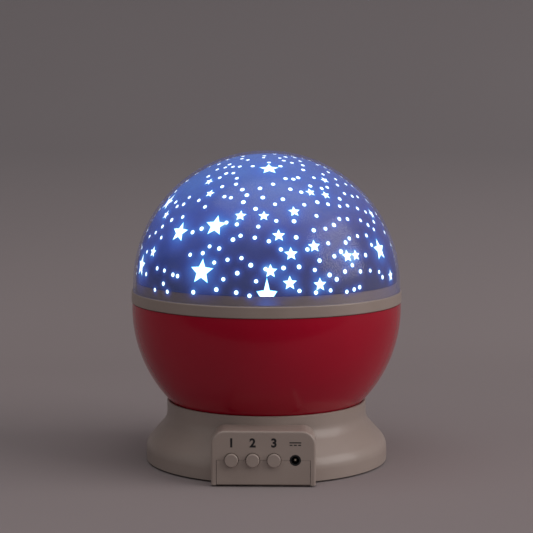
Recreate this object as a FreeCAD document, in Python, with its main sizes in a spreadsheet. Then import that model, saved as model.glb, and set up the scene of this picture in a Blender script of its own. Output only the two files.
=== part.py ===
import FreeCAD, Part
import math
import os
import re

import Sketcher

# Driving dimensions, in millimetres and degrees
SIZES = {
    # Globe: bowl, ring, mask and dome
    "globe_radius": (62.7, "outside of the red bowl"),
    "seat_radius": (45.44, "circle of the bowl that shows at the neck"),
    "bowl_wall": (2.0, "bowl wall and floor"),
    "bowl_floor_z": (26.0, "underside of the bowl floor"),
    "bowl_rise": (2.7, "bowl edge above the globe centre"),
    "lip_rise": (1.8, "bowl lip inside the ring"),
    "hub_radius": (11.0, "outside of the bowl hub"),
    "hub_rise": (12.0, "hub above the underside of the bowl floor"),
    "rib_rise": (5.0, "floor ribs above the bowl floor"),
    "ring_proud": (0.3, "ring outside the bowl"),
    "ring_gap": (0.2, "dark line between bowl and ring"),
    "ring_rise": (5.2, "height of the ring band"),
    "ring_round": (0.5, "rounding of the band's edges"),
    "web_thick": (1.4, "shelf inside the ring"),
    "collar_rise": (4.2, "collar above the ring band"),
    "collar_wall": (0.9, "collar wall"),
    "dome_step": (0.8, "dome inside the ring's outline"),
    "dome_wall": (1.2, "clear dome wall"),
    "dome_skirt": (2.6, "upright skirt under the half ball"),
    "dome_flare": (0.2, "skirt widens by this at its foot"),
    "push_gap": (0.3, "clearance of the push fit"),
    "mask_gap": (0.2, "mask inside the clear dome"),
    "mask_wall": (0.9, "mask wall"),
    "mask_rim": (4.6, "mask rim inside the collar"),
    "tray_hole": (14.0, "hole of the light tray"),
    "tray_thick": (1.2, "light tray"),
    # Post and lamp head
    "post_radius": (8.0, "centre post"),
    "post_bore": (5.5, "bore of the post"),
    "spin_gap": (0.06, "running clearance on the post"),
    "flange_radius": (13.5, "post flange"),
    "flange_thick": (2.0, "post flange"),
    "washer_thick": (1.0, "thrust washer and post washer"),
    "washer_radius": (13.0, "thrust washer and post washer"),
    "clip_thick": (1.0, "spring clip"),
    "groove_depth": (0.8, "clip groove in the post"),
    "holder_radius": (12.0, "lamp holder"),
    "holder_socket": (6.0, "holder over the post top"),
    "board_thick": (1.6, "circuit boards"),
    "lamp_radius": (2.5, "lamp body"),
    "lamp_height": (8.6, "lamp body with its round tip"),
    "lamp_circle": (5.4, "lamps from the axis"),
    "lead_radius": (1.0, "lamp lead"),
    # Gears and motor
    "tooth_module": (1.0, "tooth size"),
    "globe_teeth": (48, "teeth on the globe gear"),
    "pinion_teeth": (12, "teeth on the pinion"),
    "pressure_angle": (20.0, "tooth flank angle"),
    "backlash": (0.2, "play between the teeth"),
    "gear_thick": (3.4, "globe gear"),
    "pinion_thick": (4.0, "drive pinion"),
    "shaft_radius": (1.5, "motor shaft"),
    "gearbox_radius": (12.0, "gearbox"),
    "gearbox_rise": (9.0, "gearbox height"),
    "motor_radius": (10.0, "motor can"),
    "motor_rise": (5.4, "motor can height"),
    "ear_reach": (16.5, "motor ears from the shaft"),
    # Base
    "stand": (0.8, "underside above the floor"),
    "base_flare": (9.8, "base outside the neck"),
    "skirt_z": (6.0, "top of the upright skirt"),
    "flare_radius": (8.2, "rounding above and below the slope"),
    "slope_angle": (42.0, "slope away from upright"),
    "neck_z": (28.7, "top of the neck lip"),
    "lip_wall": (0.9, "neck lip"),
    "seat_gap": (0.36, "neck lip to bowl"),
    "base_wall": (2.0, "housing wall"),
    "deck_z": (18.0, "underside of the deck"),
    "deck_thick": (2.0, "deck"),
    "boss_radius": (3.2, "screw bosses"),
    "boss_circle": (43.0, "bosses from the axis"),
    "boss_angle": (20.0, "bosses from the X axis"),
    "screw_radius": (1.3, "screw shanks"),
    "screw_head": (2.6, "screw heads"),
    "head_rise": (1.2, "screw head height"),
    "screw_gap": (0.05, "clearance around screws"),
    "plate_thick": (2.2, "bottom plate"),
    "plate_gap": (0.25, "clearance around the bottom plate"),
    "foot_radius": (4.5, "rubber feet"),
    "foot_circle": (46.0, "feet from the axis"),
    # Console and controls
    "console_width": (46.0, "console"),
    "console_proud": (3.5, "console front ahead of the base"),
    "console_drop": (3.7, "console top below the neck lip"),
    "console_round": (6.2, "console top corner"),
    "console_edge": (1.0, "console side edges"),
    "tab_width": (41.0, "tab of the bottom plate"),
    "tab_gap": (0.2, "seam around the tab"),
    "control_z": (12.0, "height of the buttons and inlet"),
    "control_pitch": (9.35, "spacing of the buttons and inlet"),
    "button_radius": (3.0, "buttons"),
    "button_gap": (0.25, "clearance around the buttons"),
    "button_proud": (1.8, "buttons ahead of the console"),
    "button_flange": (3.9, "button flange"),
    "button_travel": (0.8, "button travel"),
    "button_dome": (0.5, "rounded edge of a button"),
    "flange_rise": (0.8, "button flange thickness"),
    "stem_radius": (1.5, "button stem"),
    "board_back": (10.4, "control board behind the console front"),
    "board_half": (20.0, "half the control board's width"),
    "switch_side": (6.0, "switch body"),
    "switch_rise": (3.8, "switch body depth"),
    "plunger_radius": (1.7, "switch plunger"),
    "plunger_proud": (1.0, "plunger ahead of the switch"),
    "jack_radius": (2.4, "inlet barrel"),
    "jack_bore": (1.8, "inlet bore"),
    "jack_depth": (9.0, "inlet bore depth"),
    "jack_side": (7.0, "inlet body"),
    "pin_radius": (0.65, "inlet centre pin"),
    # Battery bay
    "cell_radius": (5.25, "battery"),
    "cell_length": (43.5, "battery without its tip"),
    "cell_tip": (1.0, "battery tip"),
    "cell_pitch": (11.2, "battery spacing"),
    "cell_gap": (0.3, "clearance above and below the batteries"),
    "contact_room": (2.5, "room for the contacts at each end"),
    "contact_thick": (0.4, "contact plates and springs"),
    "bay_wall": (1.2, "battery tray wall"),
    "tray_gap": (1.0, "battery tray to the gearbox"),
    "door_thick": (1.2, "battery door"),
    "door_inner": (0.8, "raised panel inside the door"),
    "door_lap": (2.0, "door over the opening's edge"),
    "door_gap": (0.3, "clearance around the door"),
    "hinge_radius": (1.0, "door knuckles"),
    "hinge_gap": (0.2, "knuckles behind the door's edge"),
    "hinge_x": (14.0, "knuckles from the middle"),
    "hinge_width": (6.0, "door knuckles"),
    "hinge_pin": (0.5, "hinge pins"),
    "hinge_reach": (1.2, "hinge pins beside the knuckles"),
    "hinge_room": (0.4, "clearance around the knuckles"),
    "guide_gap": (0.3, "board guides below the inlet body"),
}

document = FreeCAD.newDocument("star_projector")
sheet = document.addObject("Spreadsheet::Sheet", "sizes")
for row, (alias, (size, meaning)) in enumerate(SIZES.items(), start=1):
    sheet.set(f"A{row}", meaning)
    sheet.set(f"B{row}", str(size))
    sheet.setAlias(f"B{row}", alias)
document.recompute()

# Sizes that follow from the driving ones
GLOBE_Z = "(neck_z + sqrt(globe_radius^2 - seat_radius^2))"
BOWL_TOP = f"({GLOBE_Z} + bowl_rise)"
RING_LOW = f"({BOWL_TOP} + ring_gap)"
RING_TOP = f"({RING_LOW} + ring_rise)"
RING_RADIUS = "(globe_radius + ring_proud)"
COLLAR_TOP = f"({RING_TOP} + collar_rise)"
DOME_RADIUS = f"({RING_RADIUS} - dome_step)"
DOME_INNER = f"({DOME_RADIUS} - dome_wall)"
DOME_Z = f"({RING_TOP} + dome_skirt)"
COLLAR_RADIUS = f"({DOME_INNER} - push_gap)"
COLLAR_INNER = f"({COLLAR_RADIUS} - collar_wall)"
MASK_RADIUS = f"({DOME_INNER} - mask_gap)"
MASK_INNER = f"({MASK_RADIUS} - mask_wall)"
LIP_RADIUS = "(globe_radius - bowl_wall/2)"
LIP_TOP = f"({BOWL_TOP} + lip_rise)"
WEB_TOP = f"({LIP_TOP} + ring_gap + web_thick)"
HUB_TOP = "(bowl_floor_z + hub_rise)"
NECK_INNER = "(seat_radius + seat_gap)"
NECK_RADIUS = f"({NECK_INNER} + lip_wall)"
BASE_RADIUS = f"({NECK_RADIUS} + base_flare)"
DECK_TOP = "(deck_z + deck_thick)"
SLOPE_Z = "(skirt_z + flare_radius*sin(slope_angle))"
SLOPE_RUN = "((base_flare - 2*flare_radius*(1 - cos(slope_angle)))/tan(slope_angle))"
CURVE_Z = f"({SLOPE_Z} + {SLOPE_RUN} + flare_radius*sin(slope_angle))"
FRONT = f"({BASE_RADIUS} + console_proud)"
CONSOLE_TOP = "(neck_z - console_drop)"
PLATE_TOP = "(stand + plate_thick)"
BOARD_FRONT = f"({FRONT} - board_back)"
LAMP_BASE = f"({DOME_Z} + 1 - lamp_height)"
HOLDER_WEB = f"({LAMP_BASE} - board_thick - 2.5)"
POST_TOP = f"({HOLDER_WEB} - 1.5)"
POST_WASHER = f"({HUB_TOP} + 0.1)"
CLIP_LOW = f"({POST_WASHER} + washer_thick + 0.05)"
GEAR_DISTANCE = "(tooth_module*(globe_teeth + pinion_teeth)/2)"
CELL_Z = "(stand + door_thick + door_inner + cell_gap/2 + cell_radius)"
CELL_TOP = f"({CELL_Z} + cell_radius + cell_gap)"
BAY_HALF = "(2*cell_pitch + 0.2)"
BAY_BACK = f"({GEAR_DISTANCE} - gearbox_radius - tray_gap - bay_wall)"
BAY_FRONT = f"(cell_length + cell_tip + 2*contact_room - {BAY_BACK})"
DOOR_BACK = f"({BAY_BACK} + door_lap)"
DOOR_FRONT = f"({BAY_FRONT} + door_lap)"
DOOR_HALF = f"({BAY_HALF} + door_lap)"
HINGE_Y = f"({DOOR_BACK} + hinge_gap + hinge_radius)"
HINGE_Z = "(stand + hinge_radius)"

WORD = re.compile(r"[a-z][a-z_]*")
BODIES = []


def in_sheet(expression):
    """Write an expression of named sizes as one that looks them up in the sheet."""
    return WORD.sub(lambda word: f"sizes.{word[0]}" if word[0] in SIZES else word[0], expression)


def number(expression):
    return float(sheet.evalExpression(expression))


def bind(thing, **values):
    for name, expression in values.items():
        thing.setExpression(name.replace("__", "."), in_sheet(expression))


def new_body(label):
    body = document.addObject("PartDesign::Body", label)
    body.Label = label
    BODIES.append(body)
    return body


def origin_part(body, role):
    return next(part for part in body.Origin.OriginFeatures if part.Role == role)


def fix_point(sketch, geometry, end, x, y):
    for kind, expression in (("DistanceX", x), ("DistanceY", y)):
        constraint = Sketcher.Constraint(kind, -1, 1, geometry, end, number(expression))
        index = sketch.addConstraint(constraint)
        sketch.setExpression(f"Constraints[{index}]", in_sheet(expression))


def fix_radius(sketch, geometry, radius):
    index = sketch.addConstraint(Sketcher.Constraint("Radius", geometry, number(radius)))
    sketch.setExpression(f"Constraints[{index}]", in_sheet(radius))


def new_sketch(body, plane="XY_Plane", offset="0"):
    """Start a sketch on an origin plane, moved along the plane's normal by offset."""
    sketch = body.newObject("Sketcher::SketchObject", f"{body.Name}_sketch")
    sketch.AttachmentSupport = [(origin_part(body, plane), "")]
    sketch.MapMode = "FlatFace"
    bind(sketch, AttachmentOffset__Base__z=offset)
    return sketch


def add_circle(sketch, x, y, radius):
    centre = FreeCAD.Vector(number(x), number(y), 0)
    circle = sketch.addGeometry(Part.Circle(centre, FreeCAD.Vector(0, 0, 1), number(radius)))
    fix_point(sketch, circle, 3, x, y)
    fix_radius(sketch, circle, radius)


def arc_between(start, end, radius):
    """The short arc from start to end; a negative radius bends it to the right."""
    chord = end - start
    rise = math.sqrt(max(radius**2 - (chord.Length/2)**2, 0))
    left = FreeCAD.Vector(-chord.y, chord.x, 0).normalize()
    centre = (start + end)/2 + left*math.copysign(rise, radius)
    first, last = (start, end) if radius > 0 else (end, start)
    angles = [math.atan2(point.y - centre.y, point.x - centre.x) for point in (first, last)]
    circle = Part.Circle(centre, FreeCAD.Vector(0, 0, 1), abs(radius))
    return Part.ArcOfCircle(circle, *angles)


def add_outline(sketch, *points, closed=True):
    """Join points (x, y) by lines; a third value is the radius of the arc that leaves the point."""
    places = [FreeCAD.Vector(number(point[0]), number(point[1]), 0) for point in points]
    pieces = []
    count = len(points) if closed else len(points) - 1
    for index in range(count):
        start = places[index]
        end = places[(index + 1) % len(points)]
        if len(points[index]) == 3:
            radius = number(points[index][2])
            piece = sketch.addGeometry(arc_between(start, end, radius))
            pieces.append((piece, 1, 2) if radius > 0 else (piece, 2, 1))
            fix_radius(sketch, piece, f"abs({points[index][2]})")
        else:
            pieces.append((sketch.addGeometry(Part.LineSegment(start, end)), 1, 2))
    for index, (piece, first, last) in enumerate(pieces):
        fix_point(sketch, piece, first, points[index][0], points[index][1])
        if closed or index + 1 < count:
            after = pieces[(index + 1) % count]
            sketch.addConstraint(Sketcher.Constraint("Coincident", piece, last, after[0], after[1]))
        else:
            fix_point(sketch, piece, last, points[-1][0], points[-1][1])


def add_box(sketch, low_x, high_x, low_y, high_y):
    add_outline(sketch, (low_x, low_y), (high_x, low_y), (high_x, high_y), (low_x, high_y))


def feature(body, kind, sketch, adds, **options):
    """Add a feature to the body and make sure that it adds or takes away material."""
    document.recompute()
    before = body.Shape.Volume if body.Tip else 0.0
    made = body.newObject(f"PartDesign::{kind}", f"{body.Name}_{kind.lower()}")
    made.Profile = sketch
    for name, value in options.items():
        setattr(made, name, value)
    return made, before, adds


def finish_feature(body, made, before, adds):
    document.recompute()
    change = body.Shape.Volume - before
    if (change > 0) != adds or abs(change) < 1e-6:
        raise ValueError(f"{made.Name} changes the volume by {change}")
    return made


def pad(body, sketch, length, **options):
    made, before, adds = feature(body, "Pad", sketch, True, **options)
    bind(made, Length=length)
    return finish_feature(body, made, before, adds)


def pocket(body, sketch, length, **options):
    made, before, adds = feature(body, "Pocket", sketch, False, **options)
    bind(made, Length=length)
    return finish_feature(body, made, before, adds)


def turn(body, sketch, adds=True):
    kind = "Revolution" if adds else "Groove"
    made, before, adds = feature(body, kind, sketch, adds)
    made.ReferenceAxis = (sketch, ["V_Axis"])
    made.Angle = 360
    return finish_feature(body, made, before, adds)


def edges_where(shape, test):
    return [f"Edge{index}" for index, edge in enumerate(shape.Edges, start=1) if test(edge)]


def soften(body, kind, size, test):
    """Fillet or chamfer the edges of the body's last feature that pass the test."""
    document.recompute()
    base = body.Tip
    made = body.newObject(f"PartDesign::{kind}", f"{body.Name}_{kind.lower()}")
    made.Base = (base, edges_where(base.Shape, test))
    bind(made, **{"Radius" if kind == "Fillet" else "Size": size})
    document.recompute()
    return made


def repeat_round(body, original, count):
    made = body.newObject("PartDesign::PolarPattern", f"{body.Name}_round")
    made.Originals = [original]
    made.Axis = (origin_part(body, "Z_Axis"), [""])
    made.Angle = 360
    made.Occurrences = count
    body.Tip = made
    document.recompute()
    return made


def around(radius, angles):
    """Places (x, y) on a circle, at angles from the X axis."""
    return [(f"{radius}*cos({angle})", f"{radius}*sin({angle})") for angle in angles]


def disc_with_hole(label, low, thick, outer, inner):
    body = new_body(label)
    sketch = new_sketch(body, offset=low)
    add_circle(sketch, "0", "0", outer)
    add_circle(sketch, "0", "0", inner)
    pad(body, sketch, thick)
    return body


def group_of_screws(label, places, head_low, head_rise, shank_rise, head, shank):
    """Round-head screws that point up, heads at the bottom, with a cross recess in each head."""
    body = new_body(label)
    heads = new_sketch(body, offset=head_low)
    for x, y in places:
        add_circle(heads, x, y, head)
    pad(body, heads, head_rise)
    shanks = new_sketch(body, offset=f"{head_low} + {head_rise}")
    for x, y in places:
        add_circle(shanks, x, y, shank)
    pad(body, shanks, shank_rise)
    for long_x, long_y in ((0.6, 0.15), (0.15, 0.6)):
        slots = new_sketch(body, offset=head_low)
        for x, y in places:
            add_box(slots, f"{x} - {head}*{long_x}", f"{x} + {head}*{long_x}",
                    f"{y} - {head}*{long_y}", f"{y} + {head}*{long_y}")
        pocket(body, slots, f"{head_rise}*0.5", Reversed=True)
    return body


# Places that several pieces share
BOSS_PLACES = around("boss_circle", [f"({side}*180 + {way}*boss_angle)"
                                     for side in (0, 1) for way in (-1, 1)])
FOOT_PLACES = around("foot_circle", ["45", "135", "225", "315"])
POST_SCREWS = around("(post_radius + 2.9)", ["30", "150", "270 + 60"])
GEAR_SCREWS = around("17", ["30", "150", "270"])
MOTOR_EARS = [("-ear_reach", GEAR_DISTANCE), ("ear_reach", GEAR_DISTANCE)]
CONTROL_X = {"light": "(-1.5*control_pitch)", "colour": "(-0.5*control_pitch)",
             "turn": "(0.5*control_pitch)", "jack": "(1.5*control_pitch)"}
CELL_X = [f"({step}*cell_pitch)" for step in (-1.5, -0.5, 0.5, 1.5)]


def add_console_outline(sketch, half, top, corner):
    """The console seen from the front: upright sides and round top corners."""
    add_outline(
        sketch,
        (f"-{half}", "stand"),
        (half, "stand"),
        (half, f"{top} - {corner}", corner),
        (f"{half} - {corner}", top),
        (f"-{half} + {corner}", top, corner),
        (f"-{half}", f"{top} - {corner}"),
    )


# Base housing: flared skirt, neck lip, deck and console in one moulding
def make_base_housing():
    body = new_body("base_housing")
    outside = new_sketch(body, "XZ_Plane")
    corner_x = f"({BASE_RADIUS} - flare_radius*(1 - cos(slope_angle)))"
    curve_x = f"({NECK_RADIUS} + flare_radius*(1 - cos(slope_angle)))"
    add_outline(
        outside,
        ("0", "stand"),
        (BASE_RADIUS, "stand"),
        (BASE_RADIUS, "skirt_z", "flare_radius"),
        (corner_x, SLOPE_Z),
        (curve_x, f"{SLOPE_Z} + {SLOPE_RUN}", "-flare_radius"),
        (NECK_RADIUS, CURVE_Z),
        (NECK_RADIUS, "neck_z - lip_wall/2", "lip_wall/2"),
        (f"{NECK_RADIUS} - lip_wall/2", "neck_z"),
        ("0", "neck_z"),
    )
    turn(body, outside)

    console = new_sketch(body, "XZ_Plane", "seat_radius")
    half = "(console_width/2)"
    add_console_outline(console, half, CONSOLE_TOP, "console_round")
    pad(body, console, f"{FRONT} - seat_radius")
    front = number(FRONT)
    soften(body, "Fillet", "console_edge", lambda edge: edge.BoundBox.YMax < -front + 0.01
           and edge.BoundBox.ZMax > number("stand") + 0.1)

    recess = new_sketch(body, "XZ_Plane")
    add_outline(recess, ("0", DECK_TOP), (NECK_INNER, DECK_TOP),
                (NECK_INNER, "neck_z + 1"), ("0", "neck_z + 1"))
    turn(body, recess, adds=False)

    inside = new_sketch(body, "XZ_Plane")
    far_radius = "(flare_radius + base_wall)"
    near_radius = "(flare_radius - base_wall)"
    centre_x = f"({NECK_RADIUS} + flare_radius)"
    deck_x = f"({centre_x} - sqrt({far_radius}^2 - ({CURVE_Z} - deck_z)^2))"
    add_outline(
        inside,
        ("0", "stand - 1"),
        (f"{BASE_RADIUS} - base_wall", "stand - 1"),
        (f"{BASE_RADIUS} - base_wall", "skirt_z", near_radius),
        (f"{corner_x} - base_wall*cos(slope_angle)", f"{SLOPE_Z} - base_wall*sin(slope_angle)"),
        (f"{curve_x} - base_wall*cos(slope_angle)",
         f"{SLOPE_Z} + {SLOPE_RUN} - base_wall*sin(slope_angle)", f"-{far_radius}"),
        (deck_x, "deck_z"),
        ("0", "deck_z"),
    )
    turn(body, inside, adds=False)

    room = new_sketch(body, "XZ_Plane", f"{FRONT} - base_wall")
    add_console_outline(room, f"({half} - base_wall)", f"({CONSOLE_TOP} - base_wall)",
                        "(console_round - base_wall)")
    pocket(body, room, "console_proud + base_flare - 2*base_wall")
    passage = new_sketch(body, "XZ_Plane", f"{FRONT} - base_wall")
    add_box(passage, f"-{half} + base_wall", f"{half} - base_wall", "stand - 1", "deck_z")
    pocket(body, passage, f"{FRONT} - base_wall - seat_radius + 5")

    tab_slot = new_sketch(body, "XZ_Plane", FRONT)
    reach = "(tab_width/2 + tab_gap)"
    add_box(tab_slot, f"-{reach}", reach, "stand - 1", "control_z")
    pocket(body, tab_slot, "base_wall + 0.5")

    holes = new_sketch(body, "XZ_Plane", FRONT)
    for name, x in CONTROL_X.items():
        size = "(jack_radius + 0.1)" if name == "jack" else "(button_radius + button_gap)"
        add_circle(holes, x, "control_z", size)
    pocket(body, holes, "base_wall + 0.5")

    bosses = new_sketch(body, offset=PLATE_TOP)
    for x, y in BOSS_PLACES:
        add_circle(bosses, x, y, "boss_radius")
    pad(body, bosses, f"deck_z - {PLATE_TOP} + 0.5")
    boss_holes = new_sketch(body, offset=PLATE_TOP)
    for x, y in BOSS_PLACES:
        add_circle(boss_holes, x, y, "screw_radius + screw_gap")
    pocket(body, boss_holes, "11", Reversed=True)

    deck_holes = new_sketch(body, offset=DECK_TOP)
    add_circle(deck_holes, "0", "0", "post_radius + screw_gap")
    add_circle(deck_holes, "0", GEAR_DISTANCE, "2*shaft_radius")
    for x, y in POST_SCREWS + MOTOR_EARS:
        add_circle(deck_holes, x, y, "screw_radius + screw_gap")
    pocket(body, deck_holes, "deck_thick + 0.5")


# Bottom plate, with the tab that closes the console's lower front
def make_bottom_plate():
    body = new_body("bottom_plate")
    plate = new_sketch(body, offset="stand")
    add_circle(plate, "0", "0", f"{BASE_RADIUS} - base_wall - plate_gap")
    pad(body, plate, "plate_thick")
    tongue = new_sketch(body, offset="stand")
    add_box(tongue, "-tab_width/2", "tab_width/2", f"-{FRONT}", "-seat_radius + 6")
    pad(body, tongue, "plate_thick")
    tab = new_sketch(body, "XZ_Plane", f"{FRONT} - base_wall")
    add_box(tab, "-tab_width/2", "tab_width/2", "stand", "control_z - tab_gap/2")
    pad(body, tab, "base_wall")
    front = -number(FRONT)
    soften(body, "Chamfer", "0.5", lambda edge: edge.BoundBox.YMax < front + 0.01
           and edge.BoundBox.ZMax < number("stand") + 0.01)

    holes = new_sketch(body, "XZ_Plane", FRONT)
    for name, x in CONTROL_X.items():
        size = "(jack_radius + 0.1)" if name == "jack" else "(button_radius + button_gap)"
        add_circle(holes, x, "control_z", size)
    pocket(body, holes, "base_wall + 0.5")

    opening = new_sketch(body, offset=PLATE_TOP)
    add_box(opening, f"-{BAY_HALF}", BAY_HALF, f"-{BAY_FRONT}", BAY_BACK)
    pocket(body, opening, "plate_thick + 1")
    rebate = new_sketch(body, offset="stand + door_thick + 0.05")
    add_box(rebate, f"-{DOOR_HALF} - door_gap", f"{DOOR_HALF} + door_gap",
            f"-{DOOR_FRONT} - door_gap", f"{DOOR_BACK} + hinge_radius - hinge_gap")
    pocket(body, rebate, "door_thick + 1")
    slots = new_sketch(body, offset=PLATE_TOP)
    half = "(hinge_width/2 + hinge_room)"
    room = "(hinge_radius + hinge_room)"
    for side in (-1, 1):
        add_box(slots, f"{side}*hinge_x - {half}", f"{side}*hinge_x + {half}",
                f"{HINGE_Y} - {room}", f"{HINGE_Y} + {room}")
    pocket(body, slots, "plate_thick + 1")
    for side in (-1, 1):
        bore = new_sketch(body, "YZ_Plane", f"{side}*hinge_x - hinge_width/2 - hinge_reach - 0.2")
        add_circle(bore, HINGE_Y, HINGE_Z, "hinge_pin + 0.1")
        pocket(body, bore, "hinge_width + 2*hinge_reach + 0.4", Reversed=True)
    grip = new_sketch(body, offset="stand + door_thick")
    add_box(grip, "-7", "7", f"-{DOOR_FRONT} - 4", f"-{DOOR_FRONT}")
    pocket(body, grip, "door_thick + 1")

    seats = new_sketch(body, offset="2*stand")
    for x, y in FOOT_PLACES:
        add_circle(seats, x, y, "foot_radius + screw_gap")
    pocket(body, seats, "stand + 1")
    heads = new_sketch(body, offset="stand + head_rise + 0.1")
    for x, y in BOSS_PLACES:
        add_circle(heads, x, y, "screw_head + 0.3")
    pocket(body, heads, "head_rise + 1")
    shanks = new_sketch(body, offset=PLATE_TOP)
    for x, y in BOSS_PLACES:
        add_circle(shanks, x, y, "screw_radius + 0.2")
    pocket(body, shanks, "plate_thick")

    guides = new_sketch(body, offset=PLATE_TOP)
    for side in (-1, 1):
        for low, high in ((f"-{BOARD_FRONT} - 1.2", f"-{BOARD_FRONT} - 0.1"),
                          (f"-{BOARD_FRONT} + board_thick + 0.1", f"-{BOARD_FRONT} + board_thick + 1.2")):
            edges = sorted((f"{side}*(board_half - 4)", f"{side}*(board_half - 1)"), key=number)
            add_box(guides, edges[0], edges[1], low, high)
    pad(body, guides, f"control_z - jack_side/2 - guide_gap - {PLATE_TOP}")


# Battery door: its two knuckles turn on pins in the plate, and it swings down from the front
def make_battery_door():
    body = new_body("battery_door")
    panel = new_sketch(body, offset="stand")
    add_box(panel, f"-{DOOR_HALF}", DOOR_HALF, f"-{DOOR_FRONT}", DOOR_BACK)
    pad(body, panel, "door_thick")
    raised = new_sketch(body, offset="stand + door_thick")
    add_box(raised, f"-{BAY_HALF} + door_gap", f"{BAY_HALF} - door_gap",
            f"-{BAY_FRONT} + door_gap", f"{BAY_BACK} - door_gap")
    pad(body, raised, "door_inner")
    arms = new_sketch(body, offset="stand")
    for side in (-1, 1):
        add_box(arms, f"{side}*hinge_x - hinge_width/2", f"{side}*hinge_x + hinge_width/2",
                f"{DOOR_BACK} - door_lap", HINGE_Y)
    pad(body, arms, "door_thick")
    for side in (-1, 1):
        for radius, half in (("hinge_radius", "(hinge_width/2)"),
                             ("hinge_pin", "(hinge_width/2 + hinge_reach)")):
            barrel = new_sketch(body, "YZ_Plane", f"{side}*hinge_x - {half}")
            add_circle(barrel, HINGE_Y, HINGE_Z, radius)
            pad(body, barrel, f"2*{half}")
    ridges = new_sketch(body, offset="stand")
    for step in range(4):
        low = f"-{DOOR_FRONT} + 3 + {step}*1.8"
        add_box(ridges, "-6", "6", low, f"{low} + 0.8")
    pocket(body, ridges, "0.4", Reversed=True)


def make_battery_tray():
    body = new_body("battery_tray")
    outside = new_sketch(body, offset=PLATE_TOP)
    add_box(outside, f"-{BAY_HALF} - bay_wall", f"{BAY_HALF} + bay_wall",
            f"-{BAY_FRONT} - bay_wall", f"{BAY_BACK} + bay_wall")
    pad(body, outside, f"{CELL_TOP} + bay_wall - {PLATE_TOP}")
    inside = new_sketch(body, offset=PLATE_TOP)
    add_box(inside, f"-{BAY_HALF}", BAY_HALF, f"-{BAY_FRONT}", BAY_BACK)
    pocket(body, inside, f"{CELL_TOP} - {PLATE_TOP}", Reversed=True)
    dividers = new_sketch(body, offset=f"{CELL_Z} + 3.2")
    for step in (-1, 0, 1):
        add_box(dividers, f"{step}*cell_pitch - 0.4", f"{step}*cell_pitch + 0.4",
                f"-{BAY_FRONT} - 0.5", f"{BAY_BACK} + 0.5")
    pad(body, dividers, f"{CELL_TOP} - {CELL_Z} - 3")


def make_batteries():
    body = new_body("batteries")
    low = f"({BAY_FRONT} - contact_room)"
    cells = new_sketch(body, "XZ_Plane", f"{low} - cell_tip/2")
    for x in CELL_X:
        add_circle(cells, x, CELL_Z, "cell_radius")
    pad(body, cells, "cell_length", Reversed=True)
    fronts = new_sketch(body, "XZ_Plane", f"{low} - cell_tip/2")
    for x in CELL_X[::2]:
        add_circle(fronts, x, CELL_Z, "1.9")
    pad(body, fronts, "cell_tip")
    backs = new_sketch(body, "XZ_Plane", f"{low} - cell_tip/2 - cell_length")
    for x in CELL_X[1::2]:
        add_circle(backs, x, CELL_Z, "1.9")
    pad(body, backs, "cell_tip", Reversed=True)


def make_contacts():
    plates = new_body("battery_contacts")
    for place, back in ((BAY_FRONT, True), (f"-{BAY_BACK}", False)):
        sketch = new_sketch(plates, "XZ_Plane", place)
        for x in CELL_X:
            add_box(sketch, f"{x} - 3.8", f"{x} + 3.8", f"{CELL_Z} - 3.6", f"{CELL_Z} + 3.6")
        pad(plates, sketch, "contact_thick", Reversed=back)
    springs = new_body("contact_springs")
    for index, x in enumerate(CELL_X):
        wall = f"-{BAY_FRONT} + contact_thick" if index % 2 else f"{BAY_BACK} - contact_thick"
        way = 1 if index % 2 else -1
        sketch = new_sketch(springs, "YZ_Plane", f"{x} - 2")
        reach = "(contact_room - contact_thick + cell_tip/2 - 0.25)"
        add_outline(
            sketch,
            (wall, f"{CELL_Z} - 3"),
            (f"{wall} + {way}*{reach}", f"{CELL_Z} + 0.5"),
            (wall, f"{CELL_Z} + 3"),
            (wall, f"{CELL_Z} + 2.4"),
            (f"{wall} + {way}*({reach} - 0.7)", f"{CELL_Z} + 0.4"),
            (wall, f"{CELL_Z} - 2.4"),
        )
        pad(springs, sketch, "4")


# Centre post with its flange, clip groove and lead notch
def make_centre_post():
    body = new_body("centre_post")
    profile = new_sketch(body, "XZ_Plane")
    groove = "(post_radius - groove_depth)"
    groove_top = f"({CLIP_LOW} + clip_thick + 0.1)"
    add_outline(
        profile,
        ("post_bore", "deck_z - flange_thick"),
        ("flange_radius", "deck_z - flange_thick"),
        ("flange_radius", "deck_z"),
        ("post_radius", "deck_z"),
        ("post_radius", f"{CLIP_LOW} - 0.05"),
        (groove, f"{CLIP_LOW} - 0.05"),
        (groove, groove_top),
        ("post_radius", groove_top),
        ("post_radius", POST_TOP),
        ("post_bore", POST_TOP),
    )
    turn(body, profile)
    notch = new_sketch(body, offset="deck_z")
    add_box(notch, "-lead_radius - 0.3", "lead_radius + 0.3", "-flange_radius - 1", "0")
    pocket(body, notch, "flange_thick + 1")
    holes = new_sketch(body, offset="deck_z")
    for x, y in POST_SCREWS:
        add_circle(holes, x, y, "screw_radius + screw_gap")
    pocket(body, holes, "flange_thick + 1")


def make_post_clip():
    body = new_body("post_clip")
    sketch = new_sketch(body, offset=CLIP_LOW)
    add_circle(sketch, "0", "0", "post_radius + 2")
    add_circle(sketch, "0", "0", "post_radius - groove_depth + 0.1")
    pad(body, sketch, "clip_thick")
    mouth = new_sketch(body, offset=CLIP_LOW)
    add_outline(mouth, ("0", "0"), ("post_radius + 4", "-post_radius*0.6"),
                ("post_radius + 4", "post_radius*0.6"))
    pocket(body, mouth, "clip_thick + 1", Reversed=True)


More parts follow.
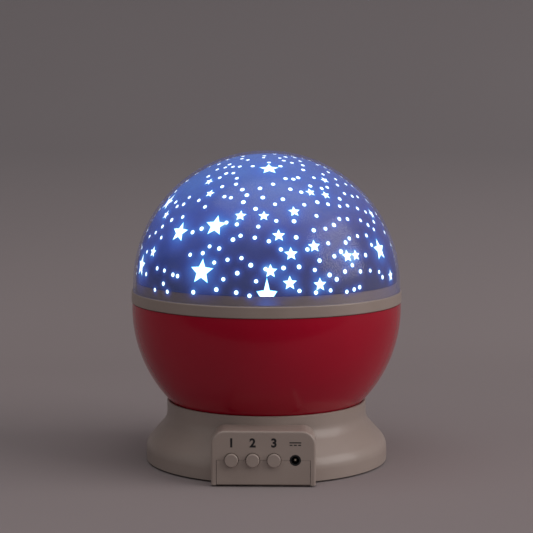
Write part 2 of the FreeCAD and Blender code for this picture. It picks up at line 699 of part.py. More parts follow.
def make_lamp_holder():
    body = new_body("lamp_holder")
    profile = new_sketch(body, "XZ_Plane")
    add_outline(
        profile,
        ("post_radius + screw_gap", f"{POST_TOP} - holder_socket"),
        ("holder_radius - 2", f"{POST_TOP} - holder_socket"),
        ("holder_radius", f"{POST_TOP} - holder_socket + 2"),
        ("holder_radius", f"{LAMP_BASE} + 1"),
        ("holder_radius - 0.9", f"{LAMP_BASE} + 1"),
        ("holder_radius - 0.9", f"{LAMP_BASE} - board_thick"),
        ("holder_radius - 2.5", f"{LAMP_BASE} - board_thick"),
        ("holder_radius - 2.5", HOLDER_WEB),
        ("lead_radius + 1", HOLDER_WEB),
        ("lead_radius + 1", POST_TOP),
        ("post_radius + screw_gap", POST_TOP),
    )
    turn(body, profile)


def make_lamp(label, angle):
    body = new_body(label)
    profile = new_sketch(body, "XZ_Plane")
    top = "(lamp_height - lamp_radius)"
    add_outline(
        profile,
        ("0", "0"),
        ("lamp_radius + 0.4", "0"),
        ("lamp_radius + 0.4", "1"),
        ("lamp_radius", "1"),
        ("lamp_radius", top, "lamp_radius"),
        ("0", "lamp_height"),
    )
    turn(body, profile)
    bind(body, Placement__Base__x=f"lamp_circle*cos({angle})",
         Placement__Base__y=f"lamp_circle*sin({angle})", Placement__Base__z=LAMP_BASE)


# Lamp lead: from the control board, under the deck, up inside the post
def make_lamp_lead():
    body = new_body("lamp_lead")
    low = "(deck_z - lead_radius - 0.1)"
    bend = "(post_bore - lead_radius/2)"
    route = new_sketch(body, "YZ_Plane")
    add_outline(
        route,
        (f"-{BOARD_FRONT} + board_thick", low),
        (f"-{bend}", low, bend),
        ("0", f"{low} + {bend}"),
        ("0", f"{LAMP_BASE} - board_thick"),
        closed=False,
    )
    section = new_sketch(body, "XZ_Plane", f"{BOARD_FRONT} - board_thick")
    add_circle(section, "0", low, "lead_radius")
    document.recompute()
    pipe = body.newObject("PartDesign::AdditivePipe", "lamp_lead_pipe")
    pipe.Profile = section
    pipe.Spine = route
    document.recompute()


# Bowl: part of a ball with a flat floor, a ribbed hub and a lip for the ring
def make_bowl():
    body = new_body("bowl")
    profile = new_sketch(body, "XZ_Plane")
    inner = "(globe_radius - bowl_wall)"
    floor_top = "(bowl_floor_z + bowl_wall)"
    add_outline(
        profile,
        ("post_radius + spin_gap", "bowl_floor_z"),
        (f"sqrt(globe_radius^2 - ({GLOBE_Z} - bowl_floor_z)^2)", "bowl_floor_z", "globe_radius"),
        ("sqrt(globe_radius^2 - bowl_rise^2)", BOWL_TOP),
        (LIP_RADIUS, BOWL_TOP),
        (LIP_RADIUS, LIP_TOP),
        (f"sqrt({inner}^2 - bowl_rise^2)", LIP_TOP),
        (f"sqrt({inner}^2 - bowl_rise^2)", BOWL_TOP, f"-{inner}"),
        (f"sqrt({inner}^2 - ({GLOBE_Z} - {floor_top})^2)", floor_top),
        ("hub_radius", floor_top),
        ("hub_radius", HUB_TOP),
        ("post_radius + spin_gap", HUB_TOP),
    )
    turn(body, profile)
    rib = new_sketch(body, "XZ_Plane")
    middle = "(globe_radius - bowl_wall/2)"
    low = f"({floor_top} - 0.5)"
    high = f"({floor_top} + rib_rise)"
    add_outline(
        rib,
        ("hub_radius - 0.5", low),
        (f"sqrt({middle}^2 - ({GLOBE_Z} - {low})^2)", low),
        (f"sqrt({middle}^2 - ({GLOBE_Z} - {high})^2)", high),
        ("hub_radius - 0.5", high),
    )
    one = pad(body, rib, "1.2", Midplane=True)
    repeat_round(body, one, 6)
    holes = new_sketch(body, offset="bowl_floor_z")
    for x, y in GEAR_SCREWS:
        add_circle(holes, x, y, "screw_radius + screw_gap")
    pocket(body, holes, "bowl_wall + rib_rise + 1", Reversed=True)


def make_trim_ring():
    body = new_body("trim_ring")
    profile = new_sketch(body, "XZ_Plane")
    web_inner = f"({COLLAR_INNER} - 1.8)"
    add_outline(
        profile,
        (f"{LIP_RADIUS} + 0.15", RING_LOW),
        (f"{RING_RADIUS} - ring_round", RING_LOW, "ring_round"),
        (RING_RADIUS, f"{RING_LOW} + ring_round"),
        (RING_RADIUS, f"{RING_TOP} - ring_round", "ring_round"),
        (f"{RING_RADIUS} - ring_round", RING_TOP),
        (COLLAR_RADIUS, RING_TOP),
        (COLLAR_RADIUS, COLLAR_TOP),
        (COLLAR_INNER, COLLAR_TOP),
        (COLLAR_INNER, WEB_TOP),
        (web_inner, WEB_TOP),
        (web_inner, f"{LIP_TOP} + ring_gap"),
        (f"{LIP_RADIUS} + 0.15", f"{LIP_TOP} + ring_gap"),
    )
    turn(body, profile)


def make_clear_dome():
    body = new_body("clear_dome")
    profile = new_sketch(body, "XZ_Plane")
    foot = f"({RING_TOP} + 0.1)"
    add_outline(
        profile,
        (DOME_INNER, foot),
        (f"{DOME_RADIUS} + dome_flare", foot),
        (DOME_RADIUS, DOME_Z, DOME_RADIUS),
        ("0", f"{DOME_Z} + {DOME_RADIUS}"),
        ("0", f"{DOME_Z} + {DOME_INNER}", f"-{DOME_INNER}"),
        (DOME_INNER, DOME_Z),
    )
    turn(body, profile)


# Star windows on the front half: turn about Z from the front, height above the rim, tip radius
LARGE_STARS = ((-44, 27, 5.0), (-24, 31, 5.3), (-27, 11, 6.0), (4, 65, 4.8), (-71, 10, 5.6),
               (-73, 40, 4.9), (63, 18, 5.4))
SMALL_STARS = ((-12, 36, 2.8), (0, 36, 2.6), (16, 38, 2.8), (7, 27, 3.0), (23, 22, 3.0),
               (12, 19, 3.2), (3, 12, 3.2), (11, 7, 3.3), (24, 6, 3.2), (39, 17, 3.0),
               (44, 17, 2.6), (40, 46, 2.4), (30, 48, 2.5), (50, 55, 2.3), (-36, 47, 2.4),
               (-45, 54, 2.3), (-60, 17, 2.8), (-63, 34, 2.5), (73, 34, 2.7), (70, 6, 3.0))
STAR_WAIST = 0.45


def star_prism(reach, depth):
    """A five-pointed star on the XY plane, padded along Z."""
    corners = []
    for step in range(10):
        radius = reach if step % 2 == 0 else reach*STAR_WAIST
        angle = math.radians(90 + 36*step)
        corners.append(FreeCAD.Vector(radius*math.cos(angle), radius*math.sin(angle), 0))
    return Part.Face(Part.makePolygon(corners + corners[:1])).extrude(FreeCAD.Vector(0, 0, depth))


# Star mask: thin dark half ball with star-shaped windows cut square to its surface
def make_star_mask():
    shell = document.addObject("PartDesign::Body", "mask_shell")
    profile = new_sketch(shell, "XZ_Plane")
    step_z = f"({COLLAR_TOP} + push_gap)"
    rim = f"({COLLAR_INNER} - push_gap)"
    add_outline(
        profile,
        (f"{rim} - mask_wall", f"{step_z} - mask_rim"),
        (rim, f"{step_z} - mask_rim"),
        (rim, step_z),
        (f"sqrt({MASK_RADIUS}^2 - ({step_z} - {DOME_Z})^2)", step_z, MASK_RADIUS),
        ("0", f"{DOME_Z} + {MASK_RADIUS}"),
        ("0", f"{DOME_Z} + {MASK_INNER}", f"-{MASK_INNER}"),
        (f"sqrt({MASK_INNER}^2 - ({step_z} + mask_wall - {DOME_Z})^2)", f"{step_z} + mask_wall"),
        (f"{rim} - mask_wall", f"{step_z} + mask_wall"),
    )
    turn(shell, profile)
    radius = number(MASK_RADIUS)
    wall = number("mask_wall")
    centre = FreeCAD.Vector(0, 0, number(DOME_Z))
    prisms = []
    for half in (0, 180):
        for azimuth, rise, reach in LARGE_STARS + SMALL_STARS:
            prism = star_prism(reach, 4*wall)
            prism.translate(FreeCAD.Vector(0, 0, radius - 2.5*wall))
            tilt = FreeCAD.Rotation(FreeCAD.Vector(1, 0, 0), 90 - rise)
            swing = FreeCAD.Rotation(FreeCAD.Vector(0, 0, 1), azimuth + half)
            prism.Placement = FreeCAD.Placement(centre, swing*tilt)*prism.Placement
            prisms.append(prism)
    windows = document.addObject("Part::Feature", "star_windows")
    windows.Shape = Part.makeCompound(prisms)
    mask = document.addObject("Part::Cut", "star_mask")
    mask.Label = "star_mask"
    mask.Base = shell
    mask.Tool = windows
    BODIES.append(mask)


def make_light_tray():
    body = new_body("light_tray")
    profile = new_sketch(body, "XZ_Plane")
    low = f"({WEB_TOP} + 0.05)"
    outer = f"({COLLAR_INNER} - push_gap - 0.2)"
    add_outline(
        profile,
        ("tray_hole", low),
        (outer, low),
        (outer, f"{low} + tray_thick"),
        ("tray_hole + 1.2", f"{low} + tray_thick"),
        ("tray_hole + 1.2", f"{low} + 2*tray_thick"),
        ("tray_hole", f"{low} + 2*tray_thick"),
    )
    turn(body, profile)


# Gear outline from the involute: each flank is one arc through three of its points
def gear_face(teeth):
    module = number("tooth_module")
    pressure = math.radians(number("pressure_angle"))
    pitch = module*teeth/2
    base = pitch*math.cos(pressure)
    tip = pitch + 0.85*module
    root = pitch - 1.15*module
    start = max(base, root)
    half = math.pi/(2*teeth) - number("backlash")/(4*pitch)

    def flank(radius):
        spread = math.acos(min(base/radius, 1.0))
        return half + math.tan(pressure) - pressure - (math.tan(spread) - spread)

    def place(radius, angle):
        return FreeCAD.Vector(radius*math.cos(angle), radius*math.sin(angle), 0)

    edges = []
    for tooth in range(teeth):
        middle = 2*math.pi*tooth/teeth
        following = middle + 2*math.pi/teeth
        radii = (start, (start + tip)/2, tip)
        rising = [place(radius, middle - flank(radius)) for radius in radii]
        falling = [place(radius, middle + flank(radius)) for radius in reversed(radii)]
        foot = place(root, middle - flank(start))
        heel = place(root, middle + flank(start))
        next_foot = place(root, following - flank(start))
        if root < start:
            edges.append(Part.LineSegment(foot, rising[0]).toShape())
        edges.append(Part.Arc(*rising).toShape())
        edges.append(Part.Arc(rising[2], place(tip, middle), falling[0]).toShape())
        edges.append(Part.Arc(*falling).toShape())
        if root < start:
            edges.append(Part.LineSegment(falling[2], heel).toShape())
            edges.append(Part.Arc(heel, place(root, (middle + following)/2), next_foot).toShape())
        else:
            last = place(start, following - flank(start))
            valley = place(start, (middle + following)/2)
            edges.append(Part.Arc(falling[2], valley, last).toShape())
    return Part.Face(Part.Wire(Part.__sortEdges__(edges)))


def make_globe_gear():
    thick = number("gear_thick")
    shape = gear_face(int(number("globe_teeth"))).extrude(FreeCAD.Vector(0, 0, thick))
    hub_low = number(f"{DECK_TOP} + washer_thick + 0.05")
    gear_low = number("bowl_floor_z - gear_thick")
    foot = FreeCAD.Vector(0, 0, hub_low - gear_low)
    shape = shape.fuse(Part.makeCylinder(number("washer_radius") - 1, gear_low - hub_low, foot))
    shape = shape.cut(Part.makeCylinder(number("post_radius") + 0.5, gear_low - hub_low + thick, foot))
    for x, y in GEAR_SCREWS:
        place = FreeCAD.Vector(number(x), number(y), 0)
        shape = shape.cut(Part.makeCylinder(number("screw_head") + 0.2, number("head_rise") + 0.05, place))
        shape = shape.cut(Part.makeCylinder(number("screw_radius + screw_gap"), thick, place))
    gear = document.addObject("Part::Feature", "globe_gear")
    gear.Label = "globe_gear"
    gear.Shape = shape.removeSplitter()
    gear.Placement = FreeCAD.Placement(FreeCAD.Vector(0, 0, gear_low), FreeCAD.Rotation())
    BODIES.append(gear)


def make_drive_pinion():
    count = int(number("pinion_teeth"))
    thick = number("pinion_thick")
    teeth = gear_face(count).extrude(FreeCAD.Vector(0, 0, thick))
    pinion = document.addObject("Part::Feature", "drive_pinion")
    pinion.Label = "drive_pinion"
    pinion.Shape = teeth.cut(Part.makeCylinder(number("shaft_radius") + 0.02, thick))
    # The globe gear has a tooth on the line to the pinion, so the pinion has a gap there
    facing = -90 + 180/count
    low = number("bowl_floor_z - 0.4 - pinion_thick")
    pinion.Placement = FreeCAD.Placement(FreeCAD.Vector(0, number(GEAR_DISTANCE), low),
                                         FreeCAD.Rotation(FreeCAD.Vector(0, 0, 1), facing))
    BODIES.append(pinion)


def make_motor():
    motor = new_body("gear_motor")
    box_low = "(deck_z - gearbox_rise)"
    gearbox = new_sketch(motor, offset=box_low)
    add_circle(gearbox, "0", GEAR_DISTANCE, "gearbox_radius")
    pad(motor, gearbox, "gearbox_rise")
    can = new_sketch(motor, offset=f"{box_low} - motor_rise")
    add_circle(can, "0", GEAR_DISTANCE, "motor_radius")
    pad(motor, can, "motor_rise")
    ears = new_sketch(motor, offset="deck_z - 1.2")
    add_box(ears, "-ear_reach - 3", "ear_reach + 3", f"{GEAR_DISTANCE} - 3", f"{GEAR_DISTANCE} + 3")
    pad(motor, ears, "1.2")
    holes = new_sketch(motor, offset="deck_z")
    for x, y in MOTOR_EARS:
        add_circle(holes, x, y, "screw_radius + screw_gap")
    pocket(motor, holes, "2.5")
    bearing = new_sketch(motor, offset="deck_z")
    add_circle(bearing, "0", GEAR_DISTANCE, "shaft_radius + 0.05")
    pocket(motor, bearing, "4")
    shaft = new_body("motor_shaft")
    sketch = new_sketch(shaft, offset="deck_z - 3.5")
    add_circle(sketch, "0", GEAR_DISTANCE, "shaft_radius")
    pad(shaft, sketch, "bowl_floor_z - 0.4 - deck_z + 3.5")


# Push button: round cap through the console front, flange behind it and a stem to the switch
def make_button(label, x):
    body = new_body(label)
    cap = new_sketch(body, "XZ_Plane", "-0.1")
    add_circle(cap, "0", "0", "button_radius")
    pad(body, cap, "base_wall + button_proud + 0.1")
    reach = number("base_wall + button_proud")
    soften(body, "Fillet", "button_dome", lambda edge: edge.BoundBox.YMax < -reach + 0.01)
    flange = new_sketch(body, "XZ_Plane", "-0.1")
    add_circle(flange, "0", "0", "button_flange")
    pad(body, flange, "flange_rise", Reversed=True)
    stem = new_sketch(body, "XZ_Plane", "-0.1 - flange_rise")
    add_circle(stem, "0", "0", "stem_radius")
    length = "(board_back - base_wall - 0.15 - flange_rise - switch_rise - plunger_proud)"
    pad(body, stem, length, Reversed=True)
    bind(body, Placement__Base__x=x, Placement__Base__y=f"-{FRONT} + base_wall",
         Placement__Base__z="control_z")


def make_plunger(label, x):
    body = new_body(label)
    sketch = new_sketch(body, "XZ_Plane")
    add_circle(sketch, "0", "0", "plunger_radius")
    pad(body, sketch, "plunger_proud + 1.2")
    bind(body, Placement__Base__x=x, Placement__Base__y=f"-{BOARD_FRONT} - switch_rise + 1.2",
         Placement__Base__z="control_z")


def make_switches():
    body = new_body("switch_bodies")
    sketch = new_sketch(body, "XZ_Plane", BOARD_FRONT)
    half = "(switch_side/2)"
    names = ("light", "colour", "turn")
    for name in names:
        x = CONTROL_X[name]
        add_box(sketch, f"{x} - {half}", f"{x} + {half}", f"control_z - {half}", f"control_z + {half}")
    pad(body, sketch, "switch_rise")
    bores = new_sketch(body, "XZ_Plane", f"{BOARD_FRONT} + switch_rise")
    for name in names:
        add_circle(bores, CONTROL_X[name], "control_z", "plunger_radius + 0.08")
    pocket(body, bores, "button_travel + 2")


def make_control_board():
    body = new_body("control_board")
    sketch = new_sketch(body, "XZ_Plane", f"{BOARD_FRONT} - board_thick")
    add_box(sketch, "-board_half", "board_half", f"{PLATE_TOP} + 0.1", "deck_z - 0.2")
    pad(body, sketch, "board_thick")


def make_jack():
    x = CONTROL_X["jack"]
    body = new_body("dc_jack")
    block = new_sketch(body, "XZ_Plane", BOARD_FRONT)
    half = "(jack_side/2)"
    add_box(block, f"{x} - {half} + 0.3", f"{x} + {half} - 0.3", f"control_z - {half}", f"control_z + {half}")
    pad(body, block, "board_back - base_wall - 0.1")
    barrel = new_sketch(body, "XZ_Plane", f"{FRONT} - base_wall - 0.2")
    add_circle(barrel, x, "control_z", "jack_radius")
    pad(body, barrel, "base_wall")
    bore = new_sketch(body, "XZ_Plane", f"{FRONT} - 0.2")
    add_circle(bore, x, "control_z", "jack_bore")
    pocket(body, bore, "jack_depth")
    pin = new_body("jack_pin")
    sketch = new_sketch(pin, "XZ_Plane", f"{FRONT} - 0.2 - jack_depth")
    add_circle(sketch, x, "control_z", "pin_radius")
    pad(pin, sketch, "jack_depth - 0.8")
    tip = number(f"{FRONT} - 1")
    soften(pin, "Chamfer", "0.2", lambda edge: edge.BoundBox.YMax < -tip + 0.01)


def make_feet():
    body = new_body("rubber_feet")
    sketch = new_sketch(body)
    for x, y in FOOT_PLACES:
        add_circle(sketch, x, y, "foot_radius")
    pad(body, sketch, "2*stand")
    soften(body, "Chamfer", "0.3", lambda edge: edge.BoundBox.ZMax < 0.01)


make_base_housing()
make_bottom_plate()
make_battery_door()
make_battery_tray()
make_batteries()
make_contacts()
make_feet()
group_of_screws("base_screws", BOSS_PLACES, "(stand + 0.1)", "head_rise", "10", "screw_head", "screw_radius")
make_centre_post()
group_of_screws("post_screws", POST_SCREWS, "(deck_z - flange_thick - 0.8)", "0.8",
                "flange_thick + deck_thick - 0.1", "2", "screw_radius")
disc_with_hole("thrust_washer", DECK_TOP, "washer_thick", "washer_radius", "post_radius + 0.2")
disc_with_hole("post_washer", POST_WASHER, "washer_thick", "washer_radius", "post_radius + 0.1")
make_post_clip()
make_lamp_holder()
disc_with_hole("lamp_board", f"{LAMP_BASE} - board_thick", "board_thick", "holder_radius - 1", "0.8")
for lamp_name, lamp_angle in (("warm", 45), ("red", 135), ("green", 225), ("blue", 315)):
    make_lamp(f"lamp_{lamp_name}", lamp_angle)
make_lamp_lead()
make_bowl()
make_trim_ring()
make_light_tray()
make_globe_gear()
group_of_screws("gear_screws", GEAR_SCREWS, "(bowl_floor_z - gear_thick)", "head_rise",
                "gear_thick - head_rise + bowl_wall", "screw_head", "screw_radius")
make_clear_dome()
make_star_mask()
make_drive_pinion()
make_motor()
group_of_screws("motor_screws", MOTOR_EARS, "(deck_z - 1.2 - head_rise)", "head_rise", "3", "2.2",
                "screw_radius")
make_control_board()
make_switches()
for control in ("light", "colour", "turn"):
    make_button(f"button_{control}", CONTROL_X[control])
    make_plunger(f"plunger_{control}", CONTROL_X[control])
make_jack()

document.recompute()
for thing in document.Objects:
    if {"Invalid", "Error"} & set(thing.State):
        raise RuntimeError(f"{thing.Name} failed: {thing.State}")
os.makedirs("parts", exist_ok=True)
for body in BODIES:
    if body.Shape.isNull() or not body.Shape.isValid():
        raise RuntimeError(f"{body.Label} has no valid shape")
    body.Shape.exportStep(f"parts/{body.Label}.step")
    box = body.Shape.BoundBox
    print(f"{body.Label}: {len(body.Shape.Solids)} solids, {body.Shape.Volume:.1f} mm3, "
          f"z {box.ZMin:.2f} to {box.ZMax:.2f}")
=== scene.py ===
import math
import random

import bmesh
import bpy
from mathutils import Matrix, Vector


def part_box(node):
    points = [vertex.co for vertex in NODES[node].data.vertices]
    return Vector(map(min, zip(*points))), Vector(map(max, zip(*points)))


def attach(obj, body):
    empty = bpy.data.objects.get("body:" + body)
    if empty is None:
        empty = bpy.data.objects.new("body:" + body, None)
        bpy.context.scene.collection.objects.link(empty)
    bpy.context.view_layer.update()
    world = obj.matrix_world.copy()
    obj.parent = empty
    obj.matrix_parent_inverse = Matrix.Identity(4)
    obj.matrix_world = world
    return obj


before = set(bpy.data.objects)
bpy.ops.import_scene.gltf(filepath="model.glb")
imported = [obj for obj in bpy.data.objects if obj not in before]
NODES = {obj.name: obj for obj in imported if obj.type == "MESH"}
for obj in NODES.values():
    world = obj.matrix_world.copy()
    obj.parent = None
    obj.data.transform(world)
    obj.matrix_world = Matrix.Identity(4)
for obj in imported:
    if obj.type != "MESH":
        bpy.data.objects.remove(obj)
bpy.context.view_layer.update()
MM = 0.001
HALF_TURN = 180
QUARTER = math.pi/2
GOLDEN_TURN = math.pi*(3 - math.sqrt(5))

# Camera, fitted to the photograph: the object stands at the origin and faces -Y
PHOTO_WIDTH = 533
FOCAL_PIXELS = 1722.4
SENSOR = 36.0
CAMERA_REACH = 0.8
CAMERA_HEIGHT = 0.1797
CAMERA_PITCH = 0.1108
CAMERA_TURN = math.radians(1.35)

# Places taken from the frame
DOME_TOP_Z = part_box("clear_dome")[1][2]
COLLAR_TOP_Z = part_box("trim_ring")[1][2]
FRONT_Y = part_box("base_housing")[0][1]
MASK_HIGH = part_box("star_mask")[1]
MASK_RADIUS = MASK_HIGH[0]
DOME_CENTRE_Z = MASK_HIGH[2] - MASK_RADIUS
DOME_CENTRE = Vector((0, 0, DOME_CENTRE_Z))

# Star windows on one half: turn about Z and rise above the rim in degrees, tip radius in millimetres
LARGE_STARS = ((-44, 27, 5.0), (-24, 31, 5.3), (-27, 11, 6.0), (4, 65, 4.8), (-71, 10, 5.6),
               (-73, 40, 4.9), (63, 18, 5.4))
SMALL_STARS = ((-12, 36, 2.8), (0, 36, 2.6), (16, 38, 2.8), (7, 27, 3.0), (23, 22, 3.0),
               (12, 19, 3.2), (3, 12, 3.2), (11, 7, 3.3), (24, 6, 3.2), (39, 17, 3.0),
               (44, 17, 2.6), (40, 46, 2.4), (30, 48, 2.5), (50, 55, 2.3), (-36, 47, 2.4),
               (-45, 54, 2.3), (-60, 17, 2.8), (-63, 34, 2.5), (73, 34, 2.7), (70, 6, 3.0))
STAR_CORNERS = 10
STAR_WAIST = 0.45

# Heights of the pieces made here above the mask
SHEET_GAP = 0.05*MM
LIGHT_GAP = 0.13*MM

# The star that the collar cuts off: turn and rise in degrees, half width, and height of its spike
CUT_STAR = (1.5, 1.2, 4.8*MM, 9.0*MM)
CUT_ABOVE_COLLAR = 0.2*MM

# Small round windows of the front, each where the photograph shows one, in its pixels
FRONT_DOTS = (
    (264.3, 156.1), (242.1, 159.0), (285.5, 157.2), (294.8, 157.9), (274.4, 154.4), (283.7, 160.9),
    (225.4, 167.7), (239.8, 166.8), (252.8, 166.4), (226.3, 173.7), (233.4, 173.3), (219.9, 177.9),
    (236.9, 178.5), (208.4, 176.6), (302.7, 165.5), (317.0, 165.0), (303.1, 170.1), (298.1, 177.9),
    (293.3, 179.4), (285.5, 178.8), (313.8, 177.9), (322.9, 174.6), (328.1, 172.4), (335.5, 179.4),
    (337.3, 185.3), (345.6, 184.4), (352.0, 186.3), (236.1, 184.4), (222.3, 186.8), (260.0, 188.5),
    (273.1, 184.4), (290.3, 189.4), (301.2, 192.3), (310.1, 186.2), (321.6, 188.6), (327.1, 187.5),
    (242.4, 189.8), (246.9, 195.3), (262.8, 197.7), (282.8, 199.4), (224.5, 196.8), (231.0, 197.9),
    (199.0, 200.5), (189.5, 197.5), (183.8, 204.4), (177.3, 206.6), (176.0, 202.3), (205.1, 207.0),
    (243.4, 202.3), (255.6, 209.0), (275.0, 204.4), (304.2, 204.9), (317.2, 202.3), (327.9, 204.4),
    (339.5, 199.0), (344.3, 193.8), (339.5, 206.4), (347.3, 205.7), (357.3, 208.6), (352.1, 196.4),
    (357.3, 197.0), (182.9, 217.1), (171.8, 220.1), (162.7, 226.6), (155.9, 232.7), (161.4, 237.7),
    (149.8, 236.5), (276.3, 221.0), (294.0, 221.4), (316.4, 216.0), (339.2, 219.0), (347.3, 219.2),
    (360.4, 220.5), (367.8, 225.1), (373.6, 229.5), (373.6, 221.9), (365.4, 212.1), (236.9, 224.5),
    (258.3, 226.7), (226.5, 222.7), (201.7, 228.8), (192.7, 232.3), (240.6, 235.8), (233.0, 239.7),
    (254.8, 237.8), (268.9, 241.3), (296.1, 237.5), (313.6, 230.4), (325.3, 228.8), (333.8, 225.1),
    (357.3, 236.2), (349.1, 238.6), (345.4, 242.6), (366.2, 235.6), (371.3, 244.9), (328.1, 243.4),
    (209.7, 246.5), (219.3, 248.6), (190.3, 254.8), (202.9, 253.2), (280.9, 249.5), (307.3, 249.5),
    (340.8, 251.7), (334.2, 256.3), (319.4, 260.6), (365.4, 255.2), (227.6, 259.8), (241.5, 258.2),
    (250.8, 265.2), (237.3, 273.2), (214.3, 262.6), (265.6, 269.1), (283.5, 268.0), (299.0, 266.9),
    (314.7, 270.0), (329.5, 275.0), (336.6, 279.3), (344.9, 271.5), (360.2, 271.5), (370.0, 270.6),
    (378.9, 271.9), (382.3, 277.2), (352.1, 265.2), (157.4, 268.4), (164.6, 270.6), (173.1, 274.8),
    (177.7, 276.1), (223.4, 279.3), (256.1, 281.3), (146.4, 274.1), (147.2, 251.9), (142.2, 247.8),
    (163.5, 283.7), (216.4, 289.6), (236.3, 292.6), (249.5, 295.7), (193.4, 292.2), (167.5, 291.7),
    (155.1, 289.8), (299.4, 290.9), (315.9, 292.6), (330.5, 290.4), (346.7, 291.7), (354.0, 289.4),
    (359.5, 287.2),
)

# Round windows elsewhere: places tried along a spiral, and what keeps them apart
DOT_COUNT = 360
DOT_RADIUS = 0.95*MM
DOT_SIDES = 14
DOT_SEED = 11
FRONT_SIZES = (0.92, 1.1)
OTHER_SIZES = (0.88, 1.1)
DOT_SHAKE_RISE = 0.035
DOT_SHAKE_TURN = 0.06
DOT_LOWEST = 3.2*MM
DOT_APART = 3.2*MM
SPIRAL_FOOT = 0.07
SPIRAL_RANGE = 0.92
STAR_REACH_SHARE = 0.75
STAR_CLEARANCE = 0.3*MM
FRONT_SPREAD = math.radians(78)
FRONT_RISE = math.radians(62)

# Rings of a light plate, from its rim inwards: (share of the rim, value of "warmth")
LIGHT_RINGS = ((1.0, 0.0), (0.82, 0.4), (0.5, 0.8))

# The glow film: its grid, and each kind of window's glow on it: (size over the window's, strength)
FILM_AROUND = 300
FILM_UP = 84
FILM_DOWN = 6
FILM_FOOT = 3.9*MM
FILM_POLE = QUARTER - 0.001
STAR_GLOW = (1.25, 0.8)
DOT_GLOW = (1.9, 0.5)
CUT_GLOW = (1.1, 0.3)
CUT_GLOW_DROP = 3
GLOW_REACH = 3
GLOW_LIMIT = 0.85

# Printing: heights on the console's face, and sizes of the strokes
NUMBER_Z = 19.5*MM
NUMBER_HEIGHT = 3.7*MM
LETTER_SHARE = 0.69
STROKE_OFFSET = 0.2*MM
PRINT_THICK = 0.02*MM
PRINT_GAP = 0.015*MM
SIGN_Z = 19.3*MM
SIGN_WIDTH = 5.2*MM
SIGN_BAR = 0.5*MM
SIGN_DROP = 1.1*MM
DASH_STEP = 0.36
DASH_WIDTH = 0.24
SIGN_DEPTH = 0.04*MM

# Stage: the paper's floor and backdrop, and the table's edge that the gloss shows
TABLE_EDGE_Y = -0.215
EDGE_SOFTNESS = 0.006
BACKDROP_RISE = 0.12
FLOOR_START = -2.5
FLOOR_END = 0.25
BEND_RADIUS = 0.45
BEND_STEPS = 24
PAPER_HALF_WIDTH = 6.0
PAPER_HEIGHT = 5.0
LIGHT_AIM = Vector((0, 0, 0.07))

# Softboxes: name, place, size, power in watts and colour
SOFTBOXES = (("softbox_right", (2.4, -0.7, 1.3), (2.2, 2.0), 36, (1.0, 0.95, 0.93)),
             ("softbox_top", (0.1, -0.2, 2.6), (3.0, 2.6), 22, (1.0, 0.98, 0.97)))
ROOM_COLOUR = (1.0, 0.985, 0.98, 1)
ROOM_STRENGTH = 0.28

# Most of a noise lies between these
NOISE_LOW = 0.3
NOISE_HIGH = 0.7

# Sockets of the colour mix node
MIX_FIRST = 6
MIX_SECOND = 7
MIX_RESULT = 2

PURE_BLACK = (0, 0, 0, 1)
GRAIN_STRENGTH = 0.03


# Materials
def srgb(red, green, blue):
    """A colour written as 0 to 255 values, in linear light."""
    def linear(value):
        share = value/255
        return share/12.92 if share <= 0.04045 else ((share + 0.055)/1.055)**2.4
    return (linear(red), linear(green), linear(blue), 1.0)


